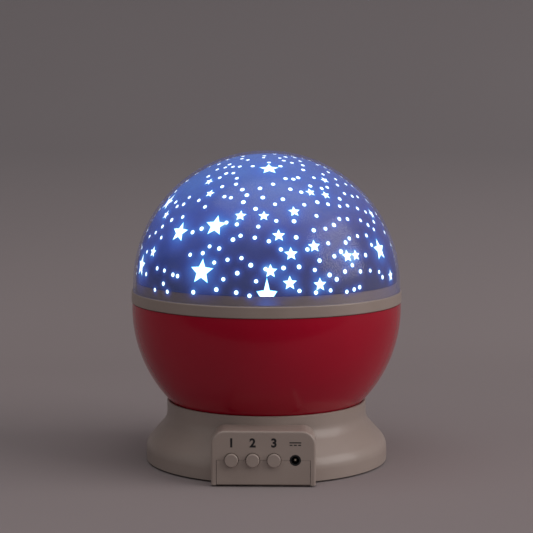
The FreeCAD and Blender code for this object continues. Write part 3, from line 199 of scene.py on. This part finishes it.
class Finish:
    """A principled material, with helpers for the noises that drive it."""

    def __init__(self, name):
        self.material = bpy.data.materials.new(name)
        self.material.use_nodes = True
        self.nodes = self.material.node_tree.nodes
        self.links = self.material.node_tree.links
        self.shader = self.nodes["Principled BSDF"]
        self.coordinates = self.nodes.new("ShaderNodeTexCoord").outputs["Object"]

    def set(self, **values):
        """Constants on the shader; an underscore stands for a space in a socket's name."""
        for name, value in values.items():
            self.shader.inputs[name.replace("_", " ")].default_value = value

    def feed(self, value, socket):
        """Link a socket's output, or set a constant."""
        if isinstance(value, bpy.types.NodeSocket):
            self.links.new(value, socket)
        else:
            socket.default_value = value

    def noise(self, scale, detail=4.0, roughness=0.55, stretch=None):
        node = self.nodes.new("ShaderNodeTexNoise")
        node.inputs["Scale"].default_value = scale
        node.inputs["Detail"].default_value = detail
        node.inputs["Roughness"].default_value = roughness
        source = self.coordinates
        if stretch:
            mapping = self.nodes.new("ShaderNodeMapping")
            mapping.inputs["Scale"].default_value = stretch
            self.links.new(source, mapping.inputs["Vector"])
            source = mapping.outputs["Vector"]
        self.links.new(source, node.inputs["Vector"])
        return node.outputs["Fac"]

    def ramp(self, source, *stops):
        """A colour ramp. Stops are (place, colour)."""
        node = self.nodes.new("ShaderNodeValToRGB")
        while len(node.color_ramp.elements) < len(stops):
            node.color_ramp.elements.new(0.5)
        for element, (place, colour) in zip(node.color_ramp.elements, stops):
            element.position = place
            element.color = colour
        self.links.new(source, node.inputs["Fac"])
        return node.outputs["Color"]

    def tones(self, source, first, second):
        """Two close tones, mixed by a noise."""
        return self.ramp(source, (NOISE_LOW, first), (NOISE_HIGH, second))

    def between(self, source, low, high, start=NOISE_LOW, end=NOISE_HIGH):
        """Low to high, as the source goes from start to end."""
        node = self.nodes.new("ShaderNodeMapRange")
        node.inputs["From Min"].default_value = start
        node.inputs["From Max"].default_value = end
        node.inputs["To Min"].default_value = low
        node.inputs["To Max"].default_value = high
        self.links.new(source, node.inputs["Value"])
        return node.outputs["Result"]

    def mix(self, amount, first, second):
        node = self.nodes.new("ShaderNodeMix")
        node.data_type = "RGBA"
        self.feed(amount, node.inputs["Factor"])
        self.feed(first, node.inputs[MIX_FIRST])
        self.feed(second, node.inputs[MIX_SECOND])
        return node.outputs[MIX_RESULT]

    def math(self, operation, first, second):
        node = self.nodes.new("ShaderNodeMath")
        node.operation = operation
        self.feed(first, node.inputs[0])
        self.feed(second, node.inputs[1])
        return node.outputs["Value"]

    def bump(self, *layers):
        """Layers are (height source, strength, distance in metres)."""
        normal = None
        for source, strength, distance in layers:
            node = self.nodes.new("ShaderNodeBump")
            node.inputs["Strength"].default_value = strength
            node.inputs["Distance"].default_value = distance
            self.links.new(source, node.inputs["Height"])
            if normal is not None:
                self.links.new(normal, node.inputs["Normal"])
            normal = node.outputs["Normal"]
        self.links.new(normal, self.shader.inputs["Normal"])

    def drive(self, name, source):
        self.links.new(source, self.shader.inputs[name])


def moulded(name, colour, shade, rough, grain=900, coat=0.0):
    """Moulded plastic: two close tones, a fine grain, long handling marks and smudges."""
    finish = Finish(name)
    clouds = finish.noise(scale=28, detail=5)
    finish.drive("Base Color", finish.tones(clouds, shade, colour))
    marks = finish.noise(scale=260, detail=8, roughness=0.7, stretch=(1.0, 1.0, 0.25))
    smudges = finish.noise(scale=55, detail=3)
    spread = finish.math("MULTIPLY", finish.between(marks, 0.85, 1.15),
                         finish.between(smudges, 0.85, 1.2))
    finish.drive("Roughness", finish.math("MULTIPLY", spread, rough))
    grains = finish.noise(scale=grain, detail=3)
    waves = finish.noise(scale=75, detail=2)
    finish.bump((grains, GRAIN_STRENGTH, 0.2*MM), (waves, 0.05, 0.6*MM))
    finish.set(Coat_Weight=coat, Coat_Roughness=0.08, IOR=1.5)
    return finish.material


def metal(name, colour, shade, rough):
    """Plated metal with fine streaks along Y."""
    finish = Finish(name)
    streaks = finish.noise(scale=900, detail=6, roughness=0.6, stretch=(1.0, 0.08, 1.0))
    finish.drive("Base Color", finish.tones(streaks, shade, colour))
    finish.drive("Roughness", finish.between(streaks, low=rough*0.7, high=rough*1.4))
    finish.bump((streaks, 0.08, 0.05*MM))
    finish.set(Metallic=1.0)
    return finish.material


def circuit(name):
    """Green solder mask with pale tracks."""
    finish = Finish(name)
    cells = finish.nodes.new("ShaderNodeTexVoronoi")
    cells.feature = "DISTANCE_TO_EDGE"
    cells.inputs["Scale"].default_value = 260
    finish.links.new(finish.coordinates, cells.inputs["Vector"])
    tracks = finish.between(cells.outputs["Distance"], low=1.0, high=0.0, start=0.02, end=0.05)
    green = finish.tones(finish.noise(scale=90), srgb(12, 70, 36), srgb(18, 92, 46))
    finish.drive("Base Color", finish.mix(tracks, green, srgb(60, 130, 70)))
    finish.drive("Roughness", finish.between(finish.noise(scale=400), low=0.25, high=0.45))
    finish.bump((tracks, 0.3, 0.05*MM))
    return finish.material


def rubber(name):
    """Matt black rubber with a fine grain."""
    finish = Finish(name)
    grains = finish.noise(scale=1800, detail=4)
    clouds = finish.noise(scale=120)
    finish.drive("Base Color", finish.tones(clouds, srgb(22, 22, 23), srgb(42, 41, 40)))
    finish.drive("Roughness", finish.between(grains, low=0.65, high=0.9))
    finish.bump((grains, 0.25, 0.1*MM))
    return finish.material


def red_bowl(name):
    """Glossy red moulding with a slightly wavy surface and hair scratches round it."""
    finish = Finish(name)
    clouds = finish.noise(scale=18, detail=4)
    reds = finish.ramp(clouds, (0.25, srgb(166, 3, 37)), (0.75, srgb(180, 6, 43)))
    finish.drive("Base Color", reds)
    scratches = finish.noise(scale=700, detail=8, roughness=0.75, stretch=(0.35, 0.35, 3.0))
    finish.drive("Roughness", finish.between(scratches, low=0.16, high=0.30, start=0.35, end=0.75))
    grains = finish.noise(scale=420, detail=2)
    waves = finish.noise(scale=45, detail=2)
    finish.bump((grains, 0.02, 0.15*MM), (waves, 0.04, 0.8*MM))
    finish.set(IOR=1.46, Coat_Weight=0.15, Coat_Roughness=0.06, Specular_IOR_Level=0.45)
    return finish.material


def mask_glow(name):
    """Dark film, lit from inside: bright at the top, navy low down, blue at -X and violet at +X."""
    finish = Finish(name)
    split = finish.nodes.new("ShaderNodeSeparateXYZ")
    finish.links.new(finish.coordinates, split.inputs["Vector"])
    height = finish.between(split.outputs["Z"], 0.0, 1.0, start=COLLAR_TOP_Z, end=DOME_TOP_Z)
    clouds = finish.between(finish.noise(scale=26), -0.14, 0.14)
    level = finish.math("ADD", height, clouds)
    blue = finish.ramp(level, (0.0, srgb(38, 48, 88)), (0.2, srgb(34, 52, 118)),
                       (0.55, srgb(64, 88, 172)), (1.0, srgb(92, 142, 232)))
    violet = finish.ramp(level, (0.0, srgb(54, 54, 82)), (0.2, srgb(54, 56, 106)),
                         (0.55, srgb(82, 86, 154)), (1.0, srgb(100, 126, 206)))
    side = finish.between(split.outputs["X"], 0.0, 1.0, start=-MASK_RADIUS*0.7, end=MASK_RADIUS*0.8)
    finish.drive("Emission Color", finish.mix(side, blue, violet))
    finish.set(Emission_Strength=0.85, IOR=1.45)
    finish.drive("Base Color", finish.tones(clouds, srgb(22, 24, 52), srgb(34, 37, 76)))
    finish.drive("Roughness", finish.between(finish.noise(scale=300, detail=6), 0.35, 0.55))
    finish.bump((finish.noise(scale=500, detail=3), 0.05, 0.1*MM))
    return finish.material


def window_light(name):
    """Light in the windows: white in the middle, cyan then blue at the very edge."""
    finish = Finish(name)
    warmth = finish.nodes.new("ShaderNodeAttribute")
    warmth.attribute_name = "warmth"
    clouds = finish.between(finish.noise(scale=400, detail=3), -0.05, 0.05)
    level = finish.math("ADD", warmth.outputs["Fac"], clouds)
    colour = finish.ramp(level, (0.0, srgb(60, 150, 255)), (0.14, srgb(120, 230, 255)),
                         (0.34, srgb(240, 252, 255)), (1.0, srgb(255, 255, 255)))
    finish.drive("Emission Color", colour)
    finish.drive("Base Color", colour)
    finish.drive("Roughness", finish.between(finish.noise(scale=800, detail=3), 0.3, 0.5))
    finish.set(Emission_Strength=2.2)
    return finish.material


def halo_light(name):
    """Soft glow round the windows, on a film that is clear elsewhere."""
    finish = Finish(name)
    halo = finish.nodes.new("ShaderNodeAttribute")
    halo.attribute_name = "halo"
    clouds = finish.between(finish.noise(scale=120), 0.85, 1.15)
    amount = finish.math("MULTIPLY", halo.outputs["Fac"], clouds)
    finish.drive("Alpha", amount)
    blues = finish.ramp(amount, (0.0, srgb(84, 100, 232)), (0.5, srgb(84, 150, 255)),
                        (0.9, srgb(170, 225, 255)))
    finish.drive("Emission Color", blues)
    finish.drive("Roughness", clouds)
    finish.set(Emission_Strength=1.0, Base_Color=PURE_BLACK, Specular_IOR_Level=0.0)
    return finish.material


def clear_plastic(name):
    """Thin clear shell: a faint haze, and more of it where the shell is seen edge on; that edge-on
    part is partly haze and partly painted sheen.
    """
    finish = Finish(name)
    haze = finish.noise(scale=35, detail=5)
    edge = finish.nodes.new("ShaderNodeLayerWeight")
    edge.inputs["Blend"].default_value = 0.28
    # Partly painted sheen: the haze thickens towards the edge-on rim, which stands in for the shell's
    # lighter limb
    rim = finish.math("POWER", edge.outputs["Facing"], 1.6)
    rim_sheen_alpha = finish.math("MULTIPLY", rim, 0.5)
    haze_and_sheen = finish.math("MULTIPLY", finish.between(haze, 0.85, 1.15), rim_sheen_alpha)
    finish.drive("Alpha", finish.math("ADD", haze_and_sheen, 0.06))
    finish.drive("Roughness", finish.between(haze, 0.13, 0.2))
    finish.drive("Base Color", finish.tones(haze, srgb(112, 122, 190), srgb(132, 142, 208)))
    finish.bump((finish.noise(scale=22, detail=1), 0.02, 0.4*MM))
    finish.set(IOR=2.4)
    return finish.material


def lamp_resin(name, tint, glow):
    """Tinted resin of a lamp, faintly lit."""
    finish = Finish(name)
    clouds = finish.noise(scale=500, detail=3)
    pale = tuple(0.5 + 0.5*part for part in tint)
    finish.drive("Base Color", finish.tones(clouds, tint, pale))
    finish.drive("Emission Color", finish.tones(clouds, glow, tint))
    finish.drive("Roughness", finish.between(clouds, 0.05, 0.15))
    finish.set(Emission_Strength=0.6)
    return finish.material


IVORY = moulded("ivory_plastic", srgb(164, 149, 141), srgb(156, 141, 133), 0.36, coat=0.12)
BLACK = moulded("black_plastic", srgb(26, 26, 28), srgb(18, 18, 20), 0.34, coat=0.2)
WHITE = moulded("white_plastic", srgb(232, 231, 226), srgb(224, 222, 216), 0.4)
NYLON = moulded("nylon", srgb(226, 222, 208), srgb(214, 209, 192), 0.5, grain=600)
SLEEVE = moulded("battery_sleeve", srgb(44, 58, 92), srgb(34, 46, 76), 0.3, coat=0.3)
LEAD = moulded("lead_insulation", srgb(120, 20, 24), srgb(96, 14, 18), 0.45)
STEEL = metal("steel", srgb(196, 197, 200), srgb(160, 161, 164), 0.3)
TIN = metal("tinned_brass", srgb(222, 214, 196), srgb(190, 180, 158), 0.22)
RUBBER = rubber("rubber")
BOARD = circuit("circuit_board")
RED = red_bowl("red_plastic")
MASK = mask_glow("mask_film")
LIGHT = window_light("window_light")
HALO = halo_light("halo_light")
CLEAR = clear_plastic("clear_plastic")

FINISHES = {
    IVORY: ("base_housing", "bottom_plate", "battery_door", "trim_ring", "button_light",
            "button_colour", "button_turn"),
    BLACK: ("battery_tray", "switch_bodies", "dc_jack", "plunger_light", "plunger_colour",
            "plunger_turn"),
    WHITE: ("lamp_holder", "light_tray"),
    NYLON: ("centre_post", "thrust_washer", "post_washer", "globe_gear", "drive_pinion"),
    SLEEVE: ("batteries",),
    LEAD: ("lamp_lead",),
    STEEL: ("battery_contacts", "contact_springs", "base_screws", "post_screws", "post_clip",
            "gear_motor", "motor_screws", "gear_screws", "motor_shaft"),
    TIN: ("jack_pin",),
    RUBBER: ("rubber_feet",),
    BOARD: ("lamp_board", "control_board"),
    RED: ("bowl",),
    MASK: ("star_mask",),
    CLEAR: ("clear_dome",),
    lamp_resin("lamp_warm", srgb(255, 240, 190), srgb(255, 214, 140)): ("lamp_warm",),
    lamp_resin("lamp_red", srgb(255, 90, 80), srgb(255, 40, 30)): ("lamp_red",),
    lamp_resin("lamp_green", srgb(90, 235, 120), srgb(40, 220, 80)): ("lamp_green",),
    lamp_resin("lamp_blue", srgb(110, 150, 255), srgb(50, 90, 255)): ("lamp_blue",),
}


def finish_nodes():
    for material, names in FINISHES.items():
        for name in names:
            mesh = NODES[name].data
            mesh.materials.clear()
            mesh.materials.append(material)


# Pieces made here
def add_piece(name, mesh, material, body):
    piece = bpy.data.objects.new(name, mesh)
    bpy.context.scene.collection.objects.link(piece)
    mesh.materials.clear()
    mesh.materials.append(material)
    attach(piece, body)


def smooth(mesh):
    for polygon in mesh.polygons:
        polygon.use_smooth = True


def window_places():
    """Every star: (turn in radians, rise in radians, tip radius in metres)."""
    return [(math.radians(turn + half), math.radians(rise), reach*MM)
            for half in (0, HALF_TURN) for turn, rise, reach in LARGE_STARS + SMALL_STARS]


def facing(turn, rise, radius):
    """The matrix that puts +Z outwards on the dome and +Y upwards along it."""
    swing = Matrix.Rotation(turn, 4, "Z")
    tilt = Matrix.Rotation(QUARTER - rise, 4, "X")
    return Matrix.Translation(DOME_CENTRE) @ swing @ tilt @ Matrix.Translation((0, 0, radius))


def outward(turn, rise):
    """The direction of a place on the dome, seen from the dome's centre."""
    return Vector((math.sin(turn)*math.cos(rise), -math.cos(turn)*math.cos(rise), math.sin(rise)))


def onto_dome(point, radius):
    """Move a point along its own radius onto the dome."""
    return DOME_CENTRE + (point - DOME_CENTRE).normalized()*radius


def add_light(shape, warmth, turn, rise, rim):
    """A plate that follows the dome: rings of points from the rim to the middle."""
    matrix = facing(turn, rise, MASK_RADIUS)
    radius = MASK_RADIUS + LIGHT_GAP
    rings = []
    for share, value in LIGHT_RINGS:
        places = [onto_dome(matrix @ Vector((share*x, share*y, 0)), radius) for x, y in rim]
        ring = [shape.verts.new(place) for place in places]
        for vertex in ring:
            vertex[warmth] = value
        rings.append(ring)
    middle = shape.verts.new(onto_dome(matrix @ Vector((0, 0, 0)), radius))
    middle[warmth] = 1.0
    count = len(rim)
    for index in range(count):
        after = (index + 1) % count
        for outer, inner in zip(rings, rings[1:]):
            shape.faces.new((outer[index], outer[after], inner[after], inner[index]))
        shape.faces.new((rings[-1][index], rings[-1][after], middle))


def star_rim(reach, tall=1.0):
    """A star's outline, one tip up; tall stretches it upwards."""
    points = []
    for step in range(STAR_CORNERS):
        radius = reach if step % 2 == 0 else reach*STAR_WAIST
        angle = QUARTER + math.tau*step/STAR_CORNERS
        points.append((radius*math.cos(angle), tall*radius*math.sin(angle)))
    return points


def round_rim(radius):
    angles = [math.tau*step/DOT_SIDES for step in range(DOT_SIDES)]
    return [(radius*math.cos(angle), radius*math.sin(angle)) for angle in angles]


def start_light():
    """An empty shape, and the vertex layer that the window light reads."""
    shape = bmesh.new()
    return shape, shape.verts.layers.float.new("warmth")


def add_light_piece(name, shape):
    mesh = bpy.data.meshes.new(name)
    shape.to_mesh(mesh)
    shape.free()
    smooth(mesh)
    add_piece(name, mesh, LIGHT, "dome")


def make_star_lights():
    """Light plates just over the star-shaped cut-outs of the mask."""
    shape, warmth = start_light()
    for turn, rise, reach in window_places():
        add_light(shape, warmth, turn, rise, star_rim(reach))
    add_light_piece("star_lights", shape)


def make_cut_star():
    """The star low in the middle of the front, of which the collar leaves the upper part."""
    turn, rise, reach, spike = CUT_STAR
    shape, warmth = start_light()
    add_light(shape, warmth, math.radians(turn), math.radians(rise), star_rim(reach, spike/reach))
    geometry = shape.verts[:] + shape.edges[:] + shape.faces[:]
    cut_z = COLLAR_TOP_Z + CUT_ABOVE_COLLAR
    bmesh.ops.bisect_plane(shape, geom=geometry, plane_co=(0, 0, cut_z), plane_no=(0, 0, -1),
                           clear_outer=True)
    add_light_piece("cut_star_light", shape)


def camera_place():
    return Vector((CAMERA_REACH*math.sin(CAMERA_TURN), -CAMERA_REACH*math.cos(CAMERA_TURN),
                   CAMERA_HEIGHT))


def seen_place(x, y):
    """The turn and rise on the dome that a pixel of the photograph looks at."""
    middle = PHOTO_WIDTH/2
    ray = Vector(((x - middle)/FOCAL_PIXELS, -(y - middle)/FOCAL_PIXELS, -1)).normalized()
    turned = Matrix.Rotation(CAMERA_TURN, 3, "Z")
    ray = turned @ Matrix.Rotation(QUARTER - CAMERA_PITCH, 3, "X") @ ray
    offset = camera_place() - DOME_CENTRE
    along = offset.dot(ray)
    inside = along*along - offset.length_squared + MASK_RADIUS*MASK_RADIUS
    point = offset + ray*(-along - math.sqrt(max(inside, 0)))
    return math.atan2(point.x, -point.y), math.asin(point.z/MASK_RADIUS)


def dot_places():
    """Round windows: the front ones as in the photograph, and a shaken, even spiral elsewhere."""
    draw = random.Random(DOT_SEED)
    stars = [(outward(turn, rise), reach) for turn, rise, reach in window_places()]
    seen = [seen_place(x, y) for x, y in FRONT_DOTS]
    places = [(turn, rise, DOT_RADIUS*draw.uniform(*FRONT_SIZES)) for turn, rise in seen]
    front = [outward(turn, rise) for turn, rise in seen]
    for step in range(DOT_COUNT):
        level = SPIRAL_FOOT + SPIRAL_RANGE*(step + 0.5)/DOT_COUNT
        rise = math.asin(level) + draw.uniform(-DOT_SHAKE_RISE, DOT_SHAKE_RISE)
        turn = GOLDEN_TURN*step + draw.uniform(-DOT_SHAKE_TURN, DOT_SHAKE_TURN)
        size = DOT_RADIUS*draw.uniform(*OTHER_SIZES)
        point = outward(turn, rise)
        if math.sin(rise)*MASK_RADIUS < DOT_LOWEST:
            continue
        if abs(math.atan2(point.x, -point.y)) < FRONT_SPREAD and rise < FRONT_RISE:
            continue
        clear = all((point - star).length*MASK_RADIUS > reach*STAR_REACH_SHARE + size + STAR_CLEARANCE
                    for star, reach in stars)
        apart = all((point - other).length*MASK_RADIUS > DOT_APART for other in front)
        if clear and apart:
            places.append((turn, rise, size))
    return places


def make_dot_lights(dots):
    """Light plates for the round windows."""
    shape, warmth = start_light()
    for turn, rise, size in dots:
        add_light(shape, warmth, turn, rise, round_rim(size))
    add_light_piece("dot_lights", shape)


def glow_spots(dots):
    """Every glow: (direction, size in metres, strength)."""
    size_share, strength = STAR_GLOW
    spots = [(outward(turn, rise), reach*size_share, strength)
             for turn, rise, reach in window_places()]
    size_share, strength = DOT_GLOW
    spots += [(outward(turn, rise), size*size_share, strength) for turn, rise, size in dots]
    size_share, strength = CUT_GLOW
    turn, rise, reach, spike = CUT_STAR
    way = outward(math.radians(turn), math.radians(rise - CUT_GLOW_DROP))
    spots.append((way, reach*size_share, strength))
    return spots


def glow_at(way, spots):
    light = 0.0
    for spot, size, strength in spots:
        apart = (way - spot).length*MASK_RADIUS/size
        if apart < GLOW_REACH:
            light += strength*math.exp(-apart*apart)
    return light


def film_levels(radius):
    """Rings of the glow film, from its foot to the pole: (share of the radius, height)."""
    foot = COLLAR_TOP_Z - DOME_CENTRE_Z - FILM_FOOT
    levels = [(1.0, foot*(FILM_DOWN - step)/FILM_DOWN) for step in range(FILM_DOWN)]
    for step in range(FILM_UP + 1):
        rise = min(QUARTER*step/FILM_UP, FILM_POLE)
        levels.append((math.cos(rise), math.sin(rise)*radius))
    return levels


def make_glow_film(dots):
    """Thin film over the mask and its rim: it glows near the windows and is clear elsewhere."""
    radius = MASK_RADIUS + SHEET_GAP
    spots = glow_spots(dots)
    levels = film_levels(radius)
    vertices = []
    halo = []
    for narrow, height in levels:
        for step in range(FILM_AROUND):
            turn = math.tau*step/FILM_AROUND
            place = Vector((math.sin(turn)*narrow*radius, -math.cos(turn)*narrow*radius, height))
            vertices.append(tuple(place + DOME_CENTRE))
            halo.append(min(glow_at(place/radius, spots)*GLOW_LIMIT, GLOW_LIMIT))
    faces = []
    for ring in range(len(levels) - 1):
        low = ring*FILM_AROUND
        high = low + FILM_AROUND
        for step in range(FILM_AROUND):
            after = (step + 1) % FILM_AROUND
            faces.append((low + step, low + after, high + after, high + step))
    mesh = bpy.data.meshes.new("glow_film")
    mesh.from_pydata(vertices, [], faces)
    values = mesh.attributes.new("halo", "FLOAT", "POINT")
    values.data.foreach_set("value", halo)
    smooth(mesh)
    add_piece("glow_film", mesh, HALO, "dome")


# Printing over the controls: plain numbers, and the sign for direct current at the inlet
def make_number(text, x):
    curve = bpy.data.curves.new(f"number_{text}", "FONT")
    curve.body = text
    curve.size = NUMBER_HEIGHT/LETTER_SHARE
    curve.offset = STROKE_OFFSET
    curve.extrude = PRINT_THICK
    curve.align_x = "CENTER"
    curve.align_y = "CENTER"
    holder = bpy.data.objects.new("holder", curve)
    bpy.context.scene.collection.objects.link(holder)
    bpy.context.view_layer.update()
    shaped = holder.evaluated_get(bpy.context.evaluated_depsgraph_get())
    mesh = bpy.data.meshes.new_from_object(shaped)
    bpy.data.objects.remove(holder)
    upright = Matrix.Rotation(QUARTER, 4, "X")
    mesh.transform(Matrix.Translation((x, FRONT_Y - PRINT_GAP, NUMBER_Z)) @ upright)
    add_piece(f"number_{text}", mesh, BLACK, "root")


def make_current_sign(x):
    """A full bar over three short ones."""
    shape = bmesh.new()
    bars = [(0.0, SIGN_DROP/2, SIGN_WIDTH)]
    bars += [(step*SIGN_WIDTH*DASH_STEP, -SIGN_DROP/2, SIGN_WIDTH*DASH_WIDTH) for step in (-1, 0, 1)]
    for across, up, length in bars:
        made = bmesh.ops.create_cube(shape, size=1.0)["verts"]
        place = Matrix.Translation((x + across, FRONT_Y - PRINT_GAP, SIGN_Z + up))
        size = Matrix.Diagonal((length, SIGN_DEPTH, SIGN_BAR, 1))
        bmesh.ops.transform(shape, matrix=place @ size, verts=made)
    mesh = bpy.data.meshes.new("current_sign")
    shape.to_mesh(mesh)
    shape.free()
    add_piece("current_sign", mesh, BLACK, "root")


def middle_x(node):
    low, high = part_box(node)
    return (low[0] + high[0])/2


def make_printing():
    for text, node in (("1", "button_light"), ("2", "button_colour"), ("3", "button_turn")):
        make_number(text, middle_x(node))
    make_current_sign(middle_x("jack_pin"))


# Stage
def stage_material():
    """Pale paper, painted darker where it rises into the backdrop: painted shade. In reflections it
    ends at the table's edge, with the dim room beyond.
    """
    finish = Finish("stage_paper")
    clouds = finish.noise(scale=1.6, detail=3)
    floor = finish.tones(clouds, srgb(144, 134, 135), srgb(150, 140, 141))
    # Painted shade: the same paper, given a darker colour up the backdrop
    shaded_backdrop = finish.tones(clouds, srgb(119, 113, 115), srgb(124, 118, 120))
    path = finish.nodes.new("ShaderNodeLightPath")
    split = finish.nodes.new("ShaderNodeSeparateXYZ")
    finish.links.new(finish.coordinates, split.inputs["Vector"])
    raised = finish.between(split.outputs["Z"], 0.0, 1.0, start=0.0, end=BACKDROP_RISE)
    paper = finish.mix(raised, floor, shaded_backdrop)
    beyond = finish.between(split.outputs["Y"], 1.0, 0.0, start=TABLE_EDGE_Y - EDGE_SOFTNESS,
                            end=TABLE_EDGE_Y + EDGE_SOFTNESS)
    hidden = finish.math("MULTIPLY", beyond, path.outputs["Is Glossy Ray"])
    finish.drive("Base Color", finish.mix(hidden, paper, srgb(58, 50, 50)))
    finish.set(Roughness=0.9, Specular_IOR_Level=0.2)
    return finish.material


def make_stage():
    """A floor that curves up into a backdrop behind the object."""
    profile = [(FLOOR_START, 0.0), (FLOOR_END, 0.0)]
    for step in range(1, BEND_STEPS + 1):
        angle = QUARTER*step/BEND_STEPS
        profile.append((FLOOR_END + BEND_RADIUS*math.sin(angle), BEND_RADIUS*(1 - math.cos(angle))))
    profile.append((FLOOR_END + BEND_RADIUS, PAPER_HEIGHT))
    vertices = [(side*PAPER_HALF_WIDTH, y, z) for y, z in profile for side in (-1, 1)]
    faces = [(2*step, 2*step + 1, 2*step + 3, 2*step + 2) for step in range(len(profile) - 1)]
    mesh = bpy.data.meshes.new("paper_sweep")
    mesh.from_pydata(vertices, [], faces)
    smooth(mesh)
    sweep = bpy.data.objects.new("paper_sweep", mesh)
    bpy.context.scene.collection.objects.link(sweep)
    mesh.materials.append(stage_material())


def add_softbox(name, place, size, power, colour):
    light = bpy.data.lights.new(name, "AREA")
    light.shape = "RECTANGLE"
    light.size, light.size_y = size
    light.energy = power
    light.color = colour
    lamp = bpy.data.objects.new(name, light)
    lamp.location = place
    aim = LIGHT_AIM - Vector(place)
    lamp.rotation_euler = aim.to_track_quat("-Z", "Y").to_euler()
    bpy.context.scene.collection.objects.link(lamp)


def light_scene():
    world = bpy.data.worlds.new("soft_room")
    world.use_nodes = True
    background = world.node_tree.nodes["Background"]
    background.inputs["Color"].default_value = ROOM_COLOUR
    background.inputs["Strength"].default_value = ROOM_STRENGTH
    bpy.context.scene.world = world
    for softbox in SOFTBOXES:
        add_softbox(*softbox)


def make_camera():
    data = bpy.data.cameras.new("camera")
    data.sensor_width = SENSOR
    data.lens = SENSOR*FOCAL_PIXELS/PHOTO_WIDTH
    camera = bpy.data.objects.new("camera", data)
    camera.location = camera_place()
    camera.rotation_euler = (QUARTER - CAMERA_PITCH, 0, CAMERA_TURN)
    bpy.context.scene.collection.objects.link(camera)
    bpy.context.scene.camera = camera


make_camera()
make_stage()
light_scene()
finish_nodes()
make_star_lights()
make_cut_star()
DOTS = dot_places()
make_dot_lights(DOTS)
make_glow_film(DOTS)
make_printing()
bpy.context.scene.view_settings.view_transform = "Standard"
